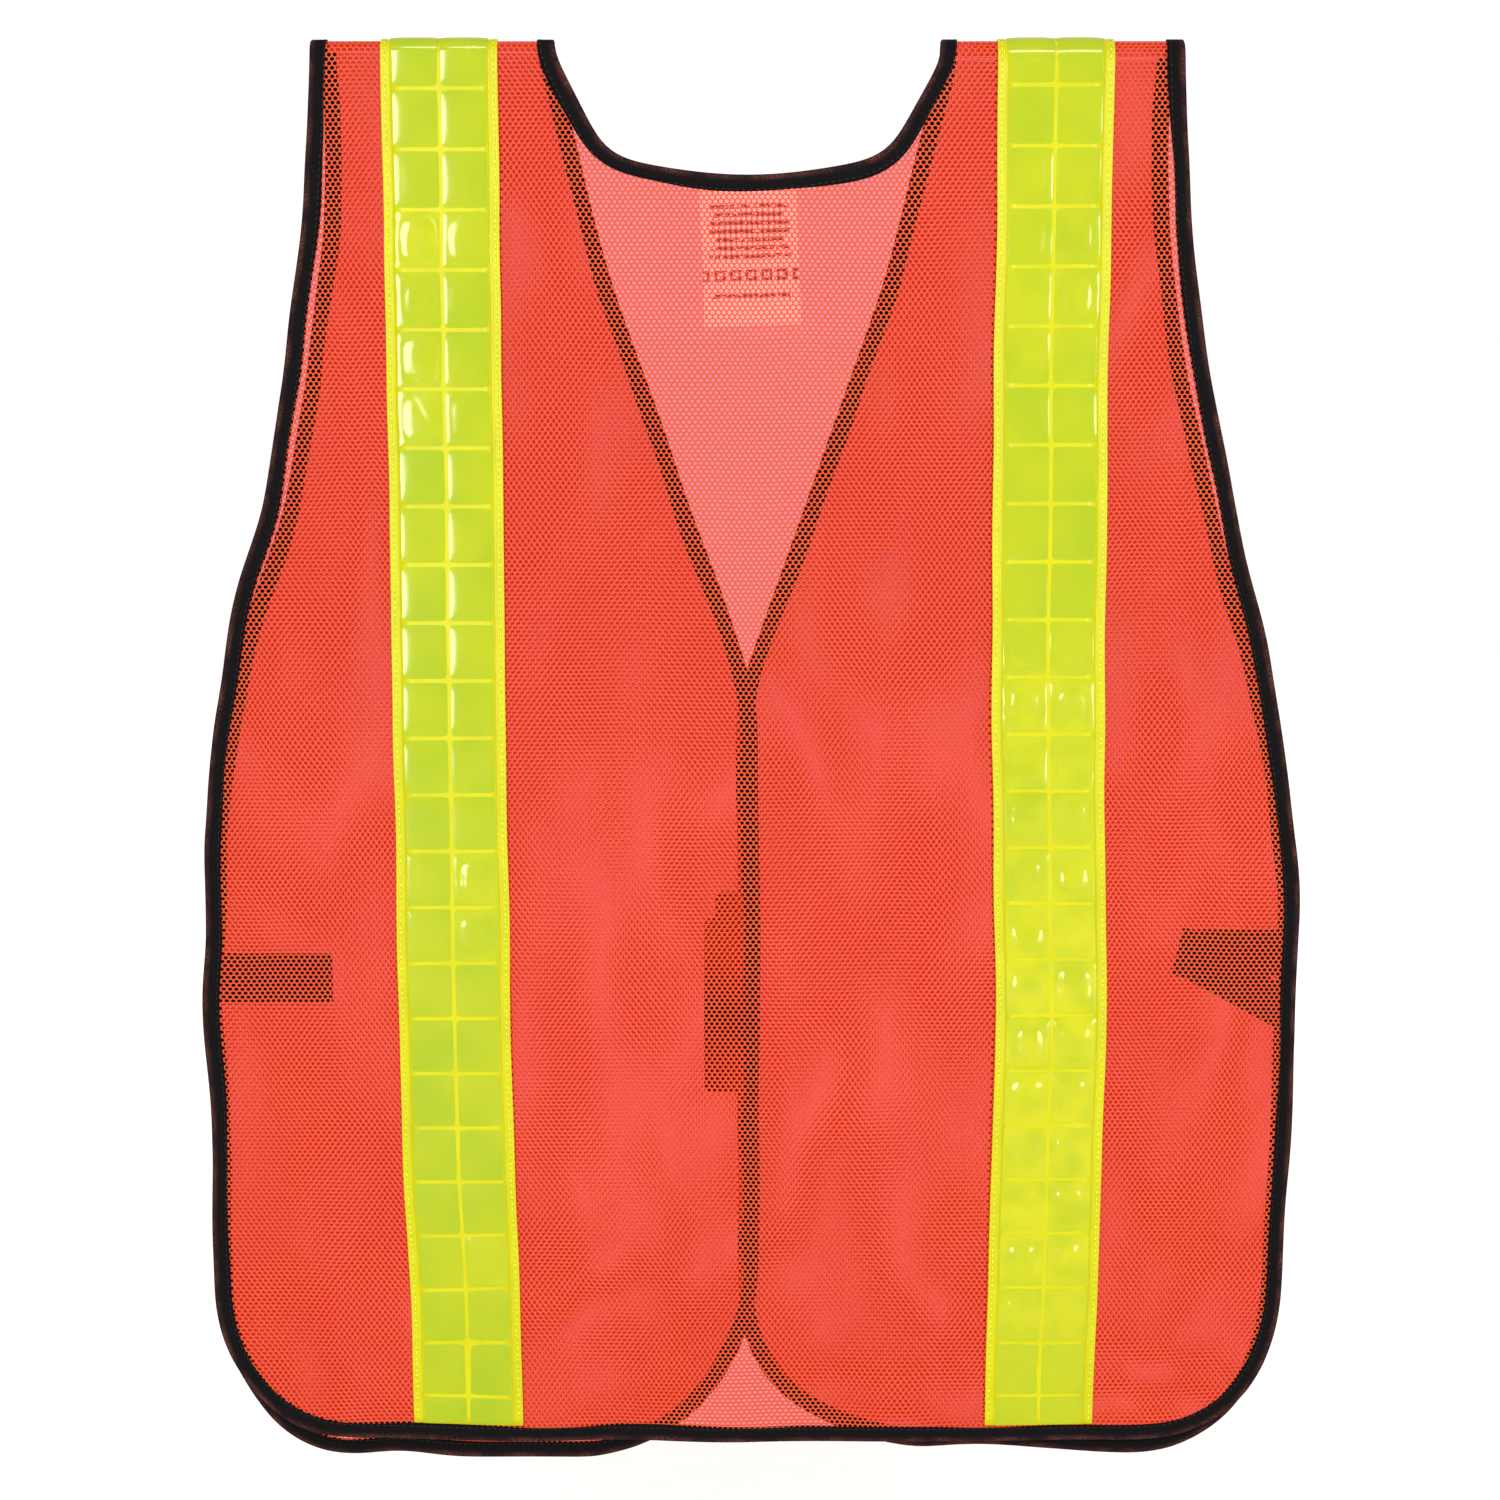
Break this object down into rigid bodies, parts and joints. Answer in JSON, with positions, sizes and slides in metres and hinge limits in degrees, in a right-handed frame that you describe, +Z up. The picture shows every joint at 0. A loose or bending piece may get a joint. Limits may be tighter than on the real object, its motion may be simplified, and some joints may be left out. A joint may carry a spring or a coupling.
{
  "type": "high visibility vest",
  "caption": "Open-sided mesh safety vest, shown from its back, with black edge binding, reflective prismatic tapes over both shoulders, elastic side straps and a hook-and-loop front closure.",
  "frame": {"origin": "middle of the line that joins the crests of the two shoulder folds, level with the middle of the cloth there", "axes": "+Z up from the hem to the shoulders, +Y from the back panel to the fronts, +X to the wearer's right"},
  "size_m": [0.497, 0.0193, 0.6555],
  "materials": {
    "mesh_cloth": "open polyester mesh, fluorescent red-orange",
    "binding": "matte black knitted edge binding",
    "tape": "fluorescent lime vinyl with stitched borders",
    "prism_film": "glossy lime prismatic vinyl, welded in cells",
    "elastic": "black woven elastic",
    "hook_and_loop": "black hook and loop pile",
    "label": "white satin care label"
  },
  "bodies": {
    "back": {"back_panel": "mesh_cloth", "back_neck_binding": "binding", "back_edge_binding": "binding", "back_left_tape": "tape", "back_right_tape": "tape", "back_left_film": "prism_film", "back_right_film": "prism_film"},
    "left_front": {"left_front_panel": "mesh_cloth", "left_front_binding": "binding", "front_left_tape": "tape", "front_left_film": "prism_film", "loop_strip": "hook_and_loop"},
    "right_front": {"right_front_panel": "mesh_cloth", "right_front_binding": "binding", "front_right_tape": "tape", "front_right_film": "prism_film", "hook_strip": "hook_and_loop"},
    "left_strap": {"left_side_strap": "elastic"},
    "right_strap": {"right_side_strap": "elastic"},
    "label": {"care_label": "label"}
  },
  "joints": [
    {"name": "right_front_swing", "type": "hinge", "parent": "back", "child": "right_front", "pos_m": [0.2135, 0.00215, 0], "axis": [0.0972, 0, -0.9953], "range_deg": [0, 90]},
    {"name": "left_front_swing", "type": "hinge", "parent": "back", "child": "left_front", "pos_m": [-0.2135, -0.0005, 0], "axis": [0.0972, 0, 0.9953], "range_deg": [0, 90]},
    {"name": "right_strap_turn", "type": "hinge", "parent": "back", "child": "right_strap", "pos_m": [0.2555, 0.00215, -0.43], "axis": [0.0972, 0, -0.9953], "range_deg": [0, 45]},
    {"name": "left_strap_turn", "type": "hinge", "parent": "back", "child": "left_strap", "pos_m": [-0.2555, -0.0005, -0.43], "axis": [0.0972, 0, 0.9953], "range_deg": [0, 45]},
    {"name": "label_flip", "type": "hinge", "parent": "back", "child": "label", "pos_m": [0, -0.0033, -0.062], "axis": [1, 0, 0], "range_deg": [0, 150]}
  ],
  "couplings": [
    {"joint": "left_front_swing", "follows": "right_front_swing", "ratio": 1},
    {"joint": "right_strap_turn", "follows": "right_front_swing", "ratio": 0.5},
    {"joint": "left_strap_turn", "follows": "right_front_swing", "ratio": 0.5}
  ]
}
